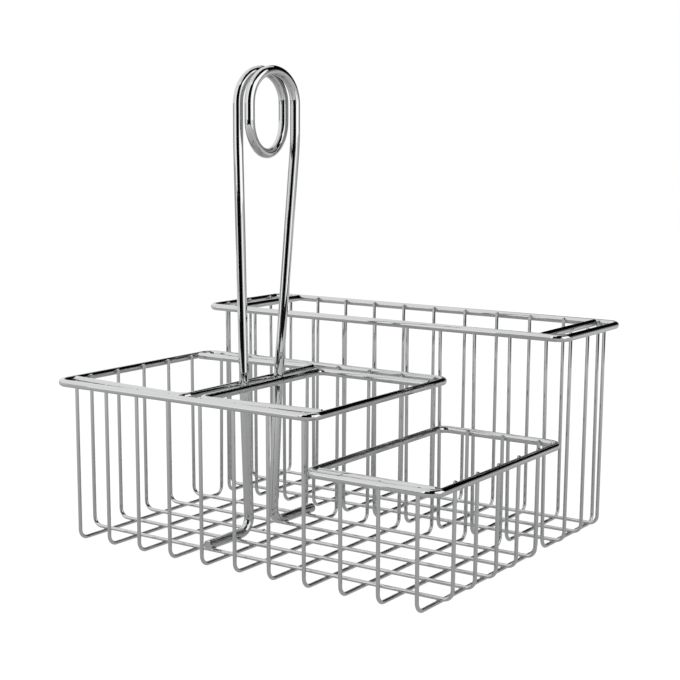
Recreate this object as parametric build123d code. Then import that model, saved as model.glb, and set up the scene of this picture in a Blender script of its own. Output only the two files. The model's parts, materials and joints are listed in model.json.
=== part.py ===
from build123d import *
import os

# Wire caddy: a front basket of three compartments, a taller basket welded behind it and a
# thick wire handle with a ring at the top. Millimetres, +Z up, the front faces -Y.
# The origin is the middle of the footprint, at the height of the table.

# Wire thicknesses
WIRE = 2.38
RIM_WIRE = 4.76
HANDLE_WIRE = 6.35
WELD = 0.03  # what is left between two welded wires, so that they touch without sharing metal
END_CHAMFER = 0.35

# Grid of the two baskets
GRID = 25.4
COLUMNS = 11  # hoops across each basket
MID_COLUMNS = 8  # hoops that reach the middle rim, the rest stop at the low rim
FRONT_ROWS = 5
REAR_ROWS = 3
FLARE = 0.008  # how far the walls lean out for each millimetre of height

# How far each wall stands out from the outermost grid wire, at the table
SIDE_REACH = 9.3
FRONT_REACH = 22.9
BACK_REACH = 19.9
REAR_SIDE_REACH = 8.8
REAR_FRONT_REACH = 13.3
REAR_BACK_REACH = 11.6

# Heights of the rim centres over the table
LOW_HEIGHT = 70.6
MID_HEIGHT = 102.9
TALL_HEIGHT = 137.0
WIRE_TIP = 1.8  # how far the hoop and runner ends stand above the rim centre

# Bends, measured to the centre of the wire
FLOOR_BEND = 6.0
RIM_CORNER = 8.0
FRAME_CORNER = 5.5
FOOT_BEND = 9.0
LEG_BEND = 200.0

# Where the rims end between the middle compartments and the low tray
MID_RIGHT_REACH = 8.1  # past the last hoop of the middle rim
LOW_LEFT_REACH = 3.9  # past the same hoop

# Divider frames and rails
DIVIDER_CENTRE = 3.626 * GRID  # from the first hoop to the middle of the handle slot
DIVIDER_SPACING = 12.9  # between the two frames, centre to centre
ARM_LEAN = 7.4  # how far an arm leaves the hoops between its corner and its free end
RIGHT_BACK_INSET = 4.6  # from the last runner back to the right frame
LEFT_RAIL_INSET = 6.35  # from the outermost hoop to the rail
LOW_RAIL_END = 4.2  # from the rim centre to the end of the low rail

# Handle
FRONT_HEEL = 36.3  # behind the first runner
REAR_HEEL = 61.3
FRONT_WAIST = 31.4  # where the leg passes between the divider frames
REAR_WAIST = 67.4
FRONT_FOOT_OVERHANG = 6.0  # past the first runner
REAR_FOOT_OVERHANG = 4.0  # past the last runner
NECK = 14.0  # from the ring down to the bend of the leg
RING_MIDDLE = 55.75  # ring centre behind the first runner
RING_HEIGHT = 274.8
RING_RADIUS = 20.65
RING_STRAIGHT = 10.2  # straight run on each side of the ring
RING_PITCH = 9.2  # sideways step of one full turn
RING_PASSES = 4  # upright stretches of wire in one and a half turns
SAMPLE_STEP = 1.5  # between the points that measure the gap of the wire to itself
NEIGHBOUR = 25.0  # points closer than this along the wire are one stretch

# Derived places, with x = 0 in the middle and y = 0 at the first runner
RIM_OFFSET = (WIRE + RIM_WIRE) / 2 + WELD
BUTT = RIM_WIRE / 2 + WELD  # from the centre of a rim wire to the end of a wire welded to it
HALF_GRID = (COLUMNS - 1) * GRID / 2
LAST_MID_X = -HALF_GRID + (MID_COLUMNS - 1) * GRID
DIVIDER_X = -HALF_GRID + DIVIDER_CENTRE
FRONT_LAST_Y = (FRONT_ROWS - 1) * GRID


def front_wall(height):
    return -(FRONT_REACH + FLARE * height)


def back_wall(height):
    return FRONT_LAST_Y + BACK_REACH + FLARE * height


def side_wall(height):
    return HALF_GRID + SIDE_REACH + FLARE * height


# The rear basket's front wall is welded to the back of the middle rim
REAR_JOIN = back_wall(MID_HEIGHT) + 2 * RIM_OFFSET
REAR_FIRST_Y = REAR_JOIN + REAR_FRONT_REACH + FLARE * MID_HEIGHT
REAR_LAST_Y = REAR_FIRST_Y + (REAR_ROWS - 1) * GRID


def rear_front_wall(height):
    return REAR_FIRST_Y - REAR_FRONT_REACH - FLARE * height


def rear_back_wall(height):
    return REAR_LAST_Y + REAR_BACK_REACH + FLARE * height


def rear_side_wall(height):
    return HALF_GRID + REAR_SIDE_REACH + FLARE * height


OUTER_FRONT = front_wall(MID_HEIGHT) - RIM_OFFSET - RIM_WIRE / 2
OUTER_BACK = rear_back_wall(TALL_HEIGHT) + RIM_OFFSET + RIM_WIRE / 2
CENTRE_SHIFT = -(OUTER_FRONT + OUTER_BACK) / 2

os.makedirs("parts", exist_ok=True)


def save(name, solid):
    solid = Pos(0, CENTRE_SHIFT, 0) * solid
    solid.label = name
    export_step(solid, f"parts/{name}.step")


def round_bar(path, diameter):
    start = Plane(origin=path @ 0, z_dir=path % 0)
    return sweep(start * Circle(diameter / 2), path=path)


def cut_bar(path, diameter):
    bar = round_bar(path, diameter)
    ends = bar.faces().filter_by(GeomType.PLANE).edges()
    return chamfer(ends, END_CHAMFER)


def hoop(x, front, back, height):
    floor = WIRE / 2
    top = height + WIRE_TIP
    path = FilletPolyline(
        (x, front(top), top),
        (x, front(floor), floor),
        (x, back(floor), floor),
        (x, back(top), top),
        radius=FLOOR_BEND,
    )
    return cut_bar(path, WIRE)


def runner(y, wall, left_height, right_height):
    floor = 1.5 * WIRE + WELD
    left_top = left_height + WIRE_TIP
    right_top = right_height + WIRE_TIP
    path = FilletPolyline(
        (-wall(left_top), y, left_top),
        (-wall(floor), y, floor),
        (wall(floor), y, floor),
        (wall(right_top), y, right_top),
        radius=FLOOR_BEND,
    )
    return cut_bar(path, WIRE)


def closed_rim(left, right, front, back, height):
    middle = Pos((left + right) / 2, (front + back) / 2, height)
    path = middle * Wire(RectangleRounded(right - left, back - front, RIM_CORNER).edges())
    return round_bar(path, RIM_WIRE)


def arm_end(rim_x, closed_x, lean):
    """Where an arm stops, so that its slanting end face just reaches the side of the rim."""
    reach = abs(rim_x - closed_x)
    slant = (RIM_WIRE / 2 - END_CHAMFER) * lean / reach
    return rim_x - (rim_x - closed_x) / reach * (BUTT + slant)


def open_frame(rim_x, closed_x, front, back, back_lean):
    path = FilletPolyline(
        (arm_end(rim_x, closed_x, ARM_LEAN), front + ARM_LEAN, MID_HEIGHT),
        (closed_x, front, MID_HEIGHT),
        (closed_x, back, MID_HEIGHT),
        (arm_end(rim_x, closed_x, back_lean), back - back_lean, MID_HEIGHT),
        radius=FRAME_CORNER,
    )
    return cut_bar(path, RIM_WIRE)


def leg(foot_y, heel_y, waist_y, ring_x, ring_y, ring_z):
    """From the foot on the runners up to the ring."""
    floor = 2 * (WIRE + WELD) + HANDLE_WIRE / 2
    path = FilletPolyline(
        (DIVIDER_X, foot_y, floor),
        (DIVIDER_X, heel_y, floor),
        (DIVIDER_X, waist_y, MID_HEIGHT),
        (ring_x, ring_y, ring_z - NECK),
        (ring_x, ring_y, ring_z),
        radius=(FOOT_BEND, LEG_BEND, LEG_BEND),
    )
    return path.edges()


def least_gap(path, diameter):
    """Least clear distance between stretches of a wire that aren't neighbours along it."""
    steps = round(path.length / SAMPLE_STEP)
    points = [path @ (step / steps) for step in range(steps + 1)]
    apart = round(NEIGHBOUR / SAMPLE_STEP)
    distances = []
    for index, point in enumerate(points):
        for other in points[index + apart:]:
            distances.append((other - point).length)
    return min(distances) - diameter


# Front basket
for column in range(COLUMNS):
    hoop_height = MID_HEIGHT if column < MID_COLUMNS else LOW_HEIGHT
    hoop_x = column * GRID - HALF_GRID
    save(f"front_hoop_{column:02d}", hoop(hoop_x, front_wall, back_wall, hoop_height))

for row in range(FRONT_ROWS):
    save(f"front_runner_{row}", runner(row * GRID, side_wall, MID_HEIGHT, LOW_HEIGHT))

# Rear basket
for column in range(COLUMNS):
    hoop_x = column * GRID - HALF_GRID
    save(f"rear_hoop_{column:02d}", hoop(hoop_x, rear_front_wall, rear_back_wall, TALL_HEIGHT))

for row in range(REAR_ROWS):
    runner_y = REAR_FIRST_Y + row * GRID
    save(f"rear_runner_{row}", runner(runner_y, rear_side_wall, TALL_HEIGHT, TALL_HEIGHT))

# Rims
mid_left = -side_wall(MID_HEIGHT) - RIM_OFFSET
mid_right = LAST_MID_X + MID_RIGHT_REACH
mid_front = front_wall(MID_HEIGHT) - RIM_OFFSET
mid_back = back_wall(MID_HEIGHT) + RIM_OFFSET
save("mid_rim", closed_rim(mid_left, mid_right, mid_front, mid_back, MID_HEIGHT))

low_left = LAST_MID_X + LOW_LEFT_REACH
low_right = side_wall(LOW_HEIGHT) + RIM_OFFSET
low_front = front_wall(LOW_HEIGHT) - RIM_OFFSET
low_back = back_wall(LOW_HEIGHT) + RIM_OFFSET
save("low_rim", closed_rim(low_left, low_right, low_front, low_back, LOW_HEIGHT))

tall_side = rear_side_wall(TALL_HEIGHT) + RIM_OFFSET
tall_front = rear_front_wall(TALL_HEIGHT) - RIM_OFFSET
tall_back = rear_back_wall(TALL_HEIGHT) + RIM_OFFSET
save("tall_rim", closed_rim(-tall_side, tall_side, tall_front, tall_back, TALL_HEIGHT))

# Divider frames, open towards the sides of the middle rim, their corners welded to the hoops
frame_front = front_wall(MID_HEIGHT) + RIM_OFFSET
left_frame = open_frame(
    mid_left,
    DIVIDER_X - DIVIDER_SPACING / 2,
    frame_front,
    back_wall(MID_HEIGHT) - RIM_OFFSET,
    back_lean=ARM_LEAN,
)
save("divider_frame_left", left_frame)
right_frame = open_frame(
    mid_right,
    DIVIDER_X + DIVIDER_SPACING / 2,
    frame_front,
    FRONT_LAST_Y + RIGHT_BACK_INSET,
    back_lean=0,
)
save("divider_frame_right", right_frame)

# Rails, the right one welded along the last hoop
left_rail_x = LEFT_RAIL_INSET - HALF_GRID
right_rail_x = HALF_GRID - RIM_OFFSET
for side, rail_x in (("left", left_rail_x), ("right", right_rail_x)):
    rail_start = (rail_x, tall_front + BUTT, TALL_HEIGHT)
    rail_end = (rail_x, tall_back - BUTT, TALL_HEIGHT)
    save(f"tall_end_rail_{side}", cut_bar(Line(rail_start, rail_end), RIM_WIRE))

low_rail_y = front_wall(LOW_HEIGHT) + RIM_OFFSET
low_rail_start = (low_left + LOW_RAIL_END, low_rail_y, LOW_HEIGHT)
low_rail_end = (low_right - LOW_RAIL_END, low_rail_y, LOW_HEIGHT)
save("low_front_rail", cut_bar(Line(low_rail_start, low_rail_end), RIM_WIRE))

# Handle: foot, leg, one and a half turns, leg, foot
ring_front = RING_MIDDLE - RING_RADIUS
ring_rear = RING_MIDDLE + RING_RADIUS
ring_low = RING_HEIGHT - RING_STRAIGHT / 2
ring_high = RING_HEIGHT + RING_STRAIGHT / 2
first_pass = DIVIDER_X - (RING_PASSES - 1) * RING_PITCH / 4
ring_x = [first_pass + step * RING_PITCH / 2 for step in range(RING_PASSES)]

turns = []
for step in range(RING_PASSES - 1):
    side_y, next_y = (ring_front, ring_rear) if step % 2 == 0 else (ring_rear, ring_front)
    enter_z, leave_z = (ring_low, ring_high) if step % 2 == 0 else (ring_high, ring_low)
    heading = (0, 0, 1) if step % 2 == 0 else (0, 0, -1)
    enter = (ring_x[step], side_y, enter_z)
    leave = (ring_x[step], side_y, leave_z)
    turns.append(Line(enter, leave))
    turns.append(TangentArc(leave, (ring_x[step + 1], next_y, leave_z), tangent=heading))
turns.append(Line((ring_x[-1], ring_rear, ring_high), (ring_x[-1], ring_rear, ring_low)))

front_foot = -FRONT_FOOT_OVERHANG
rear_foot = FRONT_LAST_Y + REAR_FOOT_OVERHANG
front_leg = leg(front_foot, FRONT_HEEL, FRONT_WAIST, ring_x[0], ring_front, ring_low)
rear_leg = leg(rear_foot, REAR_HEEL, REAR_WAIST, ring_x[-1], ring_rear, ring_low)
handle_path = Wire([*front_leg, *turns, *rear_leg])
print(f"least gap of the handle wire to itself: {least_gap(handle_path, HANDLE_WIRE):.2f} mm")
save("handle", cut_bar(handle_path, HANDLE_WIRE))
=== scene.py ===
import json
import math

import bmesh
import bpy
from mathutils import Matrix, Vector


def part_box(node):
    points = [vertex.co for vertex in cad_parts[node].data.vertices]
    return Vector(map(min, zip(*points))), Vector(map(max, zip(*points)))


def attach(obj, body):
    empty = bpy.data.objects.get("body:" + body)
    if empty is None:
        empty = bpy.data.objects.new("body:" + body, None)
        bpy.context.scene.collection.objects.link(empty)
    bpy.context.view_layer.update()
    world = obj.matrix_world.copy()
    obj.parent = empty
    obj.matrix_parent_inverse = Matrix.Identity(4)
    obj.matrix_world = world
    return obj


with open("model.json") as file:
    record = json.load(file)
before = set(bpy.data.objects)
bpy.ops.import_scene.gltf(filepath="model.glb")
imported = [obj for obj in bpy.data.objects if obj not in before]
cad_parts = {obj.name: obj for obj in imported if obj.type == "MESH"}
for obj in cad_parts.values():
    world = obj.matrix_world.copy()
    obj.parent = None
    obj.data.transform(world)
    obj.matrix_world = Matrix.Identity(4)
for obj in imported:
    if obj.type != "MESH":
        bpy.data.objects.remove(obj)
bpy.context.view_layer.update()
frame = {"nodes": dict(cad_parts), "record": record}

MM = 0.001
X, Y, Z = 0, 1, 2
WHITE = (1, 1, 1, 1)
scene = bpy.context.scene


# ---------------------------------------------------------------- what the frame gives
def wires(family):
    """The names of one family of CAD wires, in their order across the basket."""
    return sorted(node for node in frame["nodes"] if node.startswith(family))


def middle(node):
    low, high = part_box(node)
    return (low + high) / 2


def points_of(node):
    piece = frame["nodes"][node]
    return [piece.matrix_world @ vertex.co for vertex in piece.data.vertices]


front_hoops = wires("front_hoop")
front_runners = wires("front_runner")
rear_hoops = wires("rear_hoop")
rear_runners = wires("rear_runner")
step_height = (middle("low_rim").z + middle("mid_rim").z) / 2
mid_hoops = [hoop for hoop in front_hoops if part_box(hoop)[1].z > step_height]
low_hoops = [hoop for hoop in front_hoops if hoop not in mid_hoops]

hoop_low, hoop_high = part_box(front_hoops[0])
rail_low, rail_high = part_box("tall_end_rail_left")
handle_low, handle_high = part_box("handle")
WIRE = hoop_high.x - hoop_low.x
RIM_WIRE = rail_high.z - rail_low.z
SLOT_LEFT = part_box("divider_frame_left")[1].x  # the handle stands between these two
SLOT_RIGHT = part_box("divider_frame_right")[0].x


# ---------------------------------------------------------------- shared tools
def new_material(name):
    material = bpy.data.materials.new(name)
    material.use_nodes = True
    return material, material.node_tree


def new_node(tree, kind, **inputs):
    """Adds a node and sets its inputs, which are named with _ in place of a space."""
    node = tree.nodes.new(kind)
    for name, value in inputs.items():
        node.inputs[name.replace("_", " ")].default_value = value
    return node


def remap(tree, value, source, target):
    """Maps a value from one (low, high) range to another."""
    node = new_node(
        tree, "ShaderNodeMapRange",
        From_Min=source[0], From_Max=source[1], To_Min=target[0], To_Max=target[1])
    tree.links.new(value, node.inputs["Value"])
    return node.outputs["Result"]


def new_object(name, mesh, material):
    """Turns a bmesh into an object of the scene."""
    data = bpy.data.meshes.new(name)
    mesh.to_mesh(data)
    mesh.free()
    data.materials.append(material)
    piece = bpy.data.objects.new(name, data)
    scene.collection.objects.link(piece)
    return piece


# ---------------------------------------------------------------- chrome
HAZE_DETAIL = 3.0
HAZE_ROUGHNESS = 0.6
HAZE_RANGE = (0.35, 0.7)  # the part of the haze that the gloss follows
GLOSS_RANGE = (0.7, 1.5)  # times a finish's roughness
COOL_TINT = (0.965, 0.985, 1.0)
WARM_TINT = (1.0, 0.995, 0.985)
RIPPLE_SCALE = 2.4  # times the scale of the haze
RIPPLE_DETAIL = 2.0
RIPPLE_ROUGHNESS = 0.5
RIPPLE_STRENGTH = 0.03
RIPPLE_HEIGHT = 0.2 * MM


def tinted(tone, tint):
    return (tone * tint[0], tone * tint[1], tone * tint[2], 1)


def chrome(name, tone, roughness, grain):
    """Bright plate: even colour, slightly uneven gloss and the faint ripple of drawn wire."""
    material, tree = new_material(name)
    shader = tree.nodes["Principled BSDF"]
    shader.inputs["Metallic"].default_value = 1.0
    place = tree.nodes.new("ShaderNodeTexCoord").outputs["Object"]

    haze = new_node(
        tree, "ShaderNodeTexNoise", Scale=grain, Detail=HAZE_DETAIL, Roughness=HAZE_ROUGHNESS)
    tree.links.new(place, haze.inputs["Vector"])
    roughness_range = (roughness * GLOSS_RANGE[0], roughness * GLOSS_RANGE[1])
    gloss = remap(tree, haze.outputs["Fac"], HAZE_RANGE, roughness_range)
    tree.links.new(gloss, shader.inputs["Roughness"])

    tint = tree.nodes.new("ShaderNodeMix")
    tint.data_type = "RGBA"
    tint.inputs["A"].default_value = tinted(tone, COOL_TINT)
    tint.inputs["B"].default_value = tinted(tone, WARM_TINT)
    tree.links.new(haze.outputs["Fac"], tint.inputs["Factor"])
    tree.links.new(tint.outputs["Result"], shader.inputs["Base Color"])

    ripple = new_node(
        tree, "ShaderNodeTexNoise",
        Scale=grain * RIPPLE_SCALE, Detail=RIPPLE_DETAIL, Roughness=RIPPLE_ROUGHNESS)
    tree.links.new(place, ripple.inputs["Vector"])
    bump = new_node(tree, "ShaderNodeBump", Strength=RIPPLE_STRENGTH, Distance=RIPPLE_HEIGHT)
    tree.links.new(ripple.outputs["Fac"], bump.inputs["Height"])
    tree.links.new(bump.outputs["Normal"], shader.inputs["Normal"])
    return material


slot_materials = {
    "basket_wire": chrome("basket_chrome", tone=0.56, roughness=0.035, grain=160.0),
    "rim_wire": chrome("rim_chrome", tone=0.58, roughness=0.03, grain=110.0),
    "handle_wire": chrome("handle_chrome", tone=0.58, roughness=0.025, grain=90.0),
}
weld_chrome = chrome("weld_chrome", tone=0.5, roughness=0.16, grain=420.0)

for part in frame["record"]["subparts"]:
    for holder in frame["nodes"][part["node"]].material_slots:
        holder.material = slot_materials[part["material_slot"]]


# ---------------------------------------------------------------- welds
WELD_SPREAD = 0.95 * MM  # half the width of a floor weld
WELD_HALF_THICKNESS = 0.42 * MM
WELD_SEGMENTS = 14
WELD_RINGS = 8
FLOOR_WELD = 1.0  # this and the next three are times the size of a floor weld
RIM_WELD = 1.25
SIDE_WELD = 1.7
BUTT_WELD = 2.1
END_DEPTH = 0.25 * RIM_WIRE  # how far from its tip an arm's cut end is measured
WAIST_REACH = 15 * MM  # how far above and below the divider frames the legs are measured


def along(axis):
    direction = Vector((0, 0, 0))
    direction[axis] = 1
    return direction


def mean(points):
    return sum(points, Vector((0, 0, 0))) / len(points)


def front_and_back(points, half_way):
    front = [point for point in points if point.y < half_way]
    back = [point for point in points if point.y > half_way]
    return front, back


def weld_group(name, joints):
    """One mesh of small lens-shaped nuggets, each a (place, axis from wire to wire, size)."""
    mesh = bmesh.new()
    for place, axis, size in joints:
        turn = along(Z).rotation_difference(along(axis)).to_matrix().to_4x4()
        spread = WELD_SPREAD * size
        shape = Matrix.Diagonal((spread, spread, WELD_HALF_THICKNESS * size, 1))
        bmesh.ops.create_uvsphere(
            mesh, u_segments=WELD_SEGMENTS, v_segments=WELD_RINGS, radius=1.0,
            matrix=Matrix.Translation(place) @ turn @ shape)
    for face in mesh.faces:
        face.smooth = True
    welds = new_object(name, mesh, weld_chrome)
    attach(welds, "root")


def floor_joints(hoops, runners):
    """Where the runners lie across the hoops."""
    joints = []
    for hoop in hoops:
        for runner in runners:
            joints.append((Vector((middle(hoop).x, middle(runner).y, WIRE)), Z, FLOOR_WELD))
    return joints


def rim_joints(uprights, rim, axis, sides):
    """Where upright wire ends lie against the inside of a rim; side -1 is its left or front."""
    low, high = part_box(rim)
    joints = []
    for upright in uprights:
        for side in sides:
            place = middle(upright)
            place.z = middle(rim).z
            place[axis] = low[axis] + RIM_WIRE if side < 0 else high[axis] - RIM_WIRE
            joints.append((place, axis, RIM_WELD))
    return joints


def arm_joints():
    """Where the cut ends of the divider frames meet the middle rim."""
    left_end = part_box("divider_frame_left")[0].x
    right_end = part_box("divider_frame_right")[1].x
    joints = []
    for node, end in (("divider_frame_left", left_end), ("divider_frame_right", right_end)):
        tips = [point for point in points_of(node) if abs(point.x - end) < END_DEPTH]
        for tip in front_and_back(tips, middle(node).y):
            place = mean(tip)
            place.x = end
            joints.append((place, X, BUTT_WELD))
    return joints


def leg_joints():
    """Where the handle's legs pass between the divider frames."""
    height = middle("divider_frame_left").z
    waist = [point for point in points_of("handle") if abs(point.z - height) < WAIST_REACH]
    joints = []
    for leg in front_and_back(waist, middle("handle").y):
        centre = mean(leg)
        centre.z = height
        half_width = (max(point.x for point in leg) - min(point.x for point in leg)) / 2
        for frame_side, leg_side in (
                (SLOT_LEFT, centre.x - half_width), (SLOT_RIGHT, centre.x + half_width)):
            place = centre.copy()
            place.x = (frame_side + leg_side) / 2
            joints.append((place, X, SIDE_WELD))
    return joints


def rail_joints():
    """Where the end rails butt against the tall rim."""
    joints = []
    for node in ("tall_end_rail_left", "tall_end_rail_right"):
        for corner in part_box(node):
            place = middle(node)
            place.y = corner.y
            joints.append((place, Y, BUTT_WELD))
    return joints


def foot_joints():
    """Where the handle's feet lie on the runners, which lie on the hoops."""
    joints = []
    for runner in front_runners:
        place = Vector(((SLOT_LEFT + SLOT_RIGHT) / 2, middle(runner).y, 2 * WIRE))
        if handle_low.y < place.y < handle_high.y:
            joints.append((place, Z, SIDE_WELD))
    return joints


BOTH_SIDES = (-1, 1)
mid_joints = rim_joints(mid_hoops, "mid_rim", Y, BOTH_SIDES)
mid_joints += rim_joints(front_runners, "mid_rim", X, (-1,))
low_joints = rim_joints(low_hoops, "low_rim", Y, BOTH_SIDES)
low_joints += rim_joints(front_runners, "low_rim", X, (1,))
tall_joints = rim_joints(rear_hoops, "tall_rim", Y, BOTH_SIDES)
tall_joints += rim_joints(rear_runners, "tall_rim", X, BOTH_SIDES)

weld_group("front_floor_welds", floor_joints(front_hoops, front_runners))
weld_group("rear_floor_welds", floor_joints(rear_hoops, rear_runners))
weld_group("mid_rim_welds", mid_joints)
weld_group("low_rim_welds", low_joints)
weld_group("tall_rim_welds", tall_joints)
weld_group("frame_welds", arm_joints() + leg_joints())
weld_group("rail_welds", rail_joints())
weld_group("foot_welds", foot_joints())

# ---------------------------------------------------------------- camera
# The photograph's view, solved from the equal spacing of the grid wires.
IMAGE = 680  # pixels along each side of the picture
FOCAL = 1427.1  # pixels
CENTRE_X = 339.5  # pixels from the picture's left
CENTRE_Y = 330.5  # pixels from its top
SENSOR = 36
CAMERA_PLACE = Vector((515.75, -761.92, 261.29)) * MM
CAMERA_YAW = 0.59798  # radians to the left of +Y
CAMERA_PITCH = 0.13684  # radians downwards
CAMERA_ROLL = -0.00497

forward = Vector((
    -math.sin(CAMERA_YAW) * math.cos(CAMERA_PITCH),
    math.cos(CAMERA_YAW) * math.cos(CAMERA_PITCH),
    -math.sin(CAMERA_PITCH),
))
level_right = Vector((math.cos(CAMERA_YAW), math.sin(CAMERA_YAW), 0))
level_down = forward.cross(level_right)
right = math.cos(CAMERA_ROLL) * level_right + math.sin(CAMERA_ROLL) * level_down
up = math.sin(CAMERA_ROLL) * level_right - math.cos(CAMERA_ROLL) * level_down

lens = bpy.data.cameras.new("camera")
lens.sensor_fit = "HORIZONTAL"
lens.sensor_width = SENSOR
lens.lens = FOCAL / IMAGE * SENSOR
lens.shift_x = (IMAGE / 2 - CENTRE_X) / IMAGE
lens.shift_y = (CENTRE_Y - IMAGE / 2) / IMAGE
camera = bpy.data.objects.new("camera", lens)
camera_turn = Matrix((right, up, -forward)).transposed().to_4x4()
camera.matrix_world = Matrix.Translation(CAMERA_PLACE) @ camera_turn
scene.collection.objects.link(camera)
scene.camera = camera

# ---------------------------------------------------------------- floor and world
FLOOR_RADIUS = 6.0
FLOOR_SEGMENTS = 64
FLOOR_DEPTH = 0.05 * MM  # below the hoops
FLOOR_PAINT = (0.82, 0.82, 0.82, 1)
FLOOR_ROUGHNESS = 0.9
FLOOR_GLOW = 1.1
FLOOR_SHADE = 0.16  # how much of the floor's own light and shadow shows under the white
SKY_COLOUR = (0.9, 0.9, 0.9, 1)
SKY_STRENGTH = 0.8


def shown_rays(tree):
    """1 for rays from the camera, a mirror or glass, 0 for the rays that light surfaces."""
    rays = tree.nodes.new("ShaderNodeLightPath")
    total = rays.outputs["Is Camera Ray"]
    for name in ("Is Glossy Ray", "Is Transmission Ray"):
        either = tree.nodes.new("ShaderNodeMath")
        either.operation = "MAXIMUM"
        tree.links.new(total, either.inputs[0])
        tree.links.new(rays.outputs[name], either.inputs[1])
        total = either.outputs[0]
    return total


def blend(tree, share, lit, white, output):
    """Sends a mix of two shaders to the output, with a share of white from 0 to 1."""
    mix = tree.nodes.new("ShaderNodeMixShader")
    tree.links.new(share, mix.inputs["Fac"])
    tree.links.new(lit, mix.inputs[1])
    tree.links.new(white, mix.inputs[2])
    tree.links.new(mix.outputs["Shader"], tree.nodes[output].inputs["Surface"])


def floor_finish():
    material, tree = new_material("pale_floor")
    paint = tree.nodes["Principled BSDF"]
    paint.inputs["Base Color"].default_value = FLOOR_PAINT
    paint.inputs["Roughness"].default_value = FLOOR_ROUGHNESS
    paint.inputs["Specular IOR Level"].default_value = 0.0
    glow = new_node(tree, "ShaderNodeEmission", Color=WHITE, Strength=FLOOR_GLOW)
    share = tree.nodes.new("ShaderNodeMath")
    share.operation = "MULTIPLY"
    tree.links.new(shown_rays(tree), share.inputs[0])
    share.inputs[1].default_value = 1 - FLOOR_SHADE
    blend(
        tree, share.outputs[0], paint.outputs["BSDF"], glow.outputs["Emission"],
        "Material Output")
    return material


def make_floor():
    mesh = bmesh.new()
    bmesh.ops.create_circle(mesh, cap_ends=True, segments=FLOOR_SEGMENTS, radius=FLOOR_RADIUS)
    floor = new_object("floor", mesh, floor_finish())
    floor.location.z = -FLOOR_DEPTH


def make_world():
    world = bpy.data.worlds.new("studio")
    world.use_nodes = True
    tree = world.node_tree
    sky = tree.nodes["Background"]
    sky.inputs["Color"].default_value = SKY_COLOUR
    sky.inputs["Strength"].default_value = SKY_STRENGTH
    white = new_node(tree, "ShaderNodeBackground", Color=WHITE, Strength=1.0)
    blend(
        tree, shown_rays(tree), sky.outputs["Background"], white.outputs["Background"],
        "World Output")
    scene.world = world


make_floor()
make_world()

# ---------------------------------------------------------------- what the chrome reflects
# A grey table with painted shade near the caddy and a dark band along its edge, cards upright
# above that band, and wide cards on a dome. All of it shows in reflections only. Sizes are in
# metres, and a tone of 1 is white.
TABLE_RIGHT = 0.8  # the caddy stands towards the near right corner of the table
TABLE_FRONT = -1.2
TABLE_LEFT = -2.5
TABLE_BACK = 2.5
CORNER_RIGHT = (TABLE_RIGHT, -1.0)  # the near right corner is cut off between these two
CORNER_FRONT = (0.6, TABLE_FRONT)
CORNER_LEFT = (TABLE_LEFT, TABLE_FRONT)
BACK_CORNER_LEFT = (TABLE_LEFT, TABLE_BACK)
BACK_CORNER_RIGHT = (TABLE_RIGHT, TABLE_BACK)
TABLE_DROP = 0.02 * MM  # below the hoops, and above the floor
TABLE_DISTANCES = (0.1, 1.0)  # from the origin
# Painted shade: the reflected table is darker near the caddy, as if in its shadow.
TABLE_SHADE_TONES = (0.5, 0.9)  # at those distances

BAND_TOP = 0.045
CARD_TOP = 0.25
FAR_CARD_TOP = 0.4
BAND = (0, BAND_TOP)
ABOVE_BAND = (BAND_TOP, CARD_TOP)
FAR_CARD = (0, FAR_CARD_TOP)
BAND_TONE = 0.01
FLAG_TONE = 0.004
BAND_END_RIGHT = 1.1  # how far back the band reaches on the right edge
BAND_END_FRONT = -1.75  # how far left it reaches on the front edge

# From the cut corner on, each card starts where the last one ended: name, end, tone.
CARDS_BACK_ALONG_THE_RIGHT = (
    ("flag_right_of_the_camera", -0.6, FLAG_TONE),
    ("grey_right_of_the_camera", -0.26, 0.85),
    ("light_at_the_right", 0.025, 1.7),
    ("grey_at_the_right", 0.67, 0.8),
    ("grey_at_the_back_right", TABLE_BACK, 0.42),
)
CARDS_LEFT_ALONG_THE_FRONT = (
    ("flag_left_of_the_camera", -0.55, FLAG_TONE),
    ("light_at_the_left", -1.14, 1.7),
    ("grey_at_the_left", TABLE_LEFT, 0.5),
)

DOME_RADIUS = 4.0
CARD_STEP = 6.0  # degrees between the points of a dome card
# Azimuth 0 is the back (+Y) and 90 the right (+X), in degrees, and the camera stands at 146.
# A card has a name, two azimuths, two elevations and a tone.
DOME_CARDS = (
    ("flag_over_the_back", (-30, 56), (13, 50), 0.003),
    ("grey_under_the_flag", (-38, 52), (0, 13), 0.3),
    ("flag_behind_the_camera", (120, 187), (0, 52), 0.006),
    ("dark_ceiling", (20, 158), (48, 84), 0.01),
    ("light_front_left", (187, 201), (0, 60), 1.7),
    ("softbox_front_left", (201, 232), (0, 60), 1.15),
    ("softbox_left", (-128, -50), (8, 75), 1.15),
    ("softbox_right", (60, 120), (0, 48), 1.7),
)


def reflected_only(name, mesh, material):
    """A card that shows only in reflections, and neither lights nor shades anything."""
    card = new_object(name, mesh, material)
    card.visible_camera = False
    card.visible_diffuse = False
    card.visible_shadow = False
    card.visible_transmission = False
    return card


def glow_material(name):
    material, tree = new_material(name)
    tree.nodes.remove(tree.nodes["Principled BSDF"])
    glow = tree.nodes.new("ShaderNodeEmission")
    tree.links.new(glow.outputs["Emission"], tree.nodes["Material Output"].inputs["Surface"])
    return material, tree, glow


def even_glow(name, tone):
    material, tree, glow = glow_material(name)
    glow.inputs["Color"].default_value = (tone, tone, tone, 1)
    return material


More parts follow.
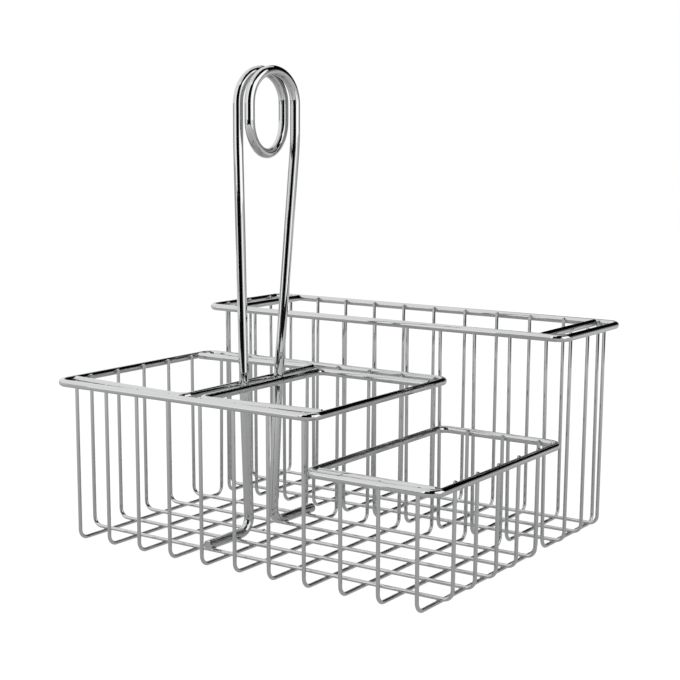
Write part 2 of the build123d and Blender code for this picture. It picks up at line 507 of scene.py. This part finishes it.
def table_card():
    """The grey of a table seen only in reflections, with painted shade: darker near the caddy, as
    if in its shadow, and lighter away from it.
    """
    material, tree, glow = glow_material("table_card")
    place = tree.nodes.new("ShaderNodeTexCoord")
    distance = tree.nodes.new("ShaderNodeVectorMath")
    distance.operation = "LENGTH"
    tree.links.new(place.outputs["Object"], distance.inputs[0])
    shade = remap(tree, distance.outputs["Value"], TABLE_DISTANCES, TABLE_SHADE_TONES)
    tree.links.new(shade, glow.inputs["Strength"])
    mesh = bmesh.new()
    corners = (CORNER_LEFT, CORNER_FRONT, CORNER_RIGHT, BACK_CORNER_RIGHT, BACK_CORNER_LEFT)
    mesh.faces.new([mesh.verts.new((x, y, 0)) for x, y in corners])
    card = reflected_only("table_card", mesh, material)
    card.location.z = -TABLE_DROP


def edge_card(name, start, end, heights, tone):
    """An upright card over an edge of the table, from one (x, y) to another."""
    bottom, top = heights
    mesh = bmesh.new()
    corners = ((*start, bottom), (*end, bottom), (*end, top), (*start, top))
    mesh.faces.new([mesh.verts.new(corner) for corner in corners])
    reflected_only(name, mesh, even_glow(name, tone))


def on_dome(azimuth, elevation):
    around = math.radians(azimuth)
    above = math.radians(elevation)
    return DOME_RADIUS * Vector((
        math.sin(around) * math.cos(above),
        math.cos(around) * math.cos(above),
        math.sin(above),
    ))


def evenly(start, end):
    """Angles from start to end, about CARD_STEP apart."""
    count = max(1, round((end - start) / CARD_STEP))
    return [start + (end - start) * i / count for i in range(count + 1)]


def dome_card(name, azimuths, elevations, tone):
    """A curved card of one even tone."""
    mesh = bmesh.new()
    rows = []
    for elevation in evenly(*elevations):
        rows.append([mesh.verts.new(on_dome(azimuth, elevation)) for azimuth in evenly(*azimuths)])
    for lower, upper in zip(rows, rows[1:]):
        for i in range(len(lower) - 1):
            mesh.faces.new((lower[i], lower[i + 1], upper[i + 1], upper[i]))
    reflected_only(name, mesh, even_glow(name, tone))


table_card()
edge_card("dark_right_edge", CORNER_RIGHT, (TABLE_RIGHT, BAND_END_RIGHT), BAND, BAND_TONE)
edge_card("dark_corner_edge", CORNER_RIGHT, CORNER_FRONT, BAND, BAND_TONE)
edge_card("dark_front_edge", CORNER_FRONT, (BAND_END_FRONT, TABLE_FRONT), BAND, BAND_TONE)
edge_card("flag_at_the_camera", CORNER_RIGHT, CORNER_FRONT, ABOVE_BAND, FLAG_TONE)
start = CORNER_RIGHT
for name, end_y, tone in CARDS_BACK_ALONG_THE_RIGHT:
    end = (TABLE_RIGHT, end_y)
    edge_card(name, start, end, ABOVE_BAND, tone)
    start = end
start = CORNER_FRONT
for name, end_x, tone in CARDS_LEFT_ALONG_THE_FRONT:
    end = (end_x, TABLE_FRONT)
    edge_card(name, start, end, ABOVE_BAND, tone)
    start = end
edge_card("grey_at_the_back", BACK_CORNER_LEFT, BACK_CORNER_RIGHT, FAR_CARD, 0.42)
edge_card("grey_beside", CORNER_LEFT, BACK_CORNER_LEFT, FAR_CARD, 0.5)
for name, azimuths, elevations, tone in DOME_CARDS:
    dome_card(name, azimuths, elevations, tone)

# ---------------------------------------------------------------- lamps
LAMP_AIM = Vector((0, 0, 0.08))


def lamp(name, place, size, power):
    """A soft rectangle of light, which the chrome doesn't show."""
    light = bpy.data.lights.new(name, "AREA")
    light.shape = "RECTANGLE"
    light.size, light.size_y = size
    light.energy = power
    item = bpy.data.objects.new(name, light)
    turn = (LAMP_AIM - Vector(place)).to_track_quat("-Z", "Y").to_matrix().to_4x4()
    item.matrix_world = Matrix.Translation(place) @ turn
    item.visible_glossy = False
    scene.collection.objects.link(item)


lamp("key_lamp", place=(-1.2, -1.4, 1.8), size=(1.4, 1.0), power=18)
lamp("fill_lamp", place=(1.6, -0.8, 1.3), size=(1.2, 1.2), power=9)

scene.view_settings.view_transform = "Standard"
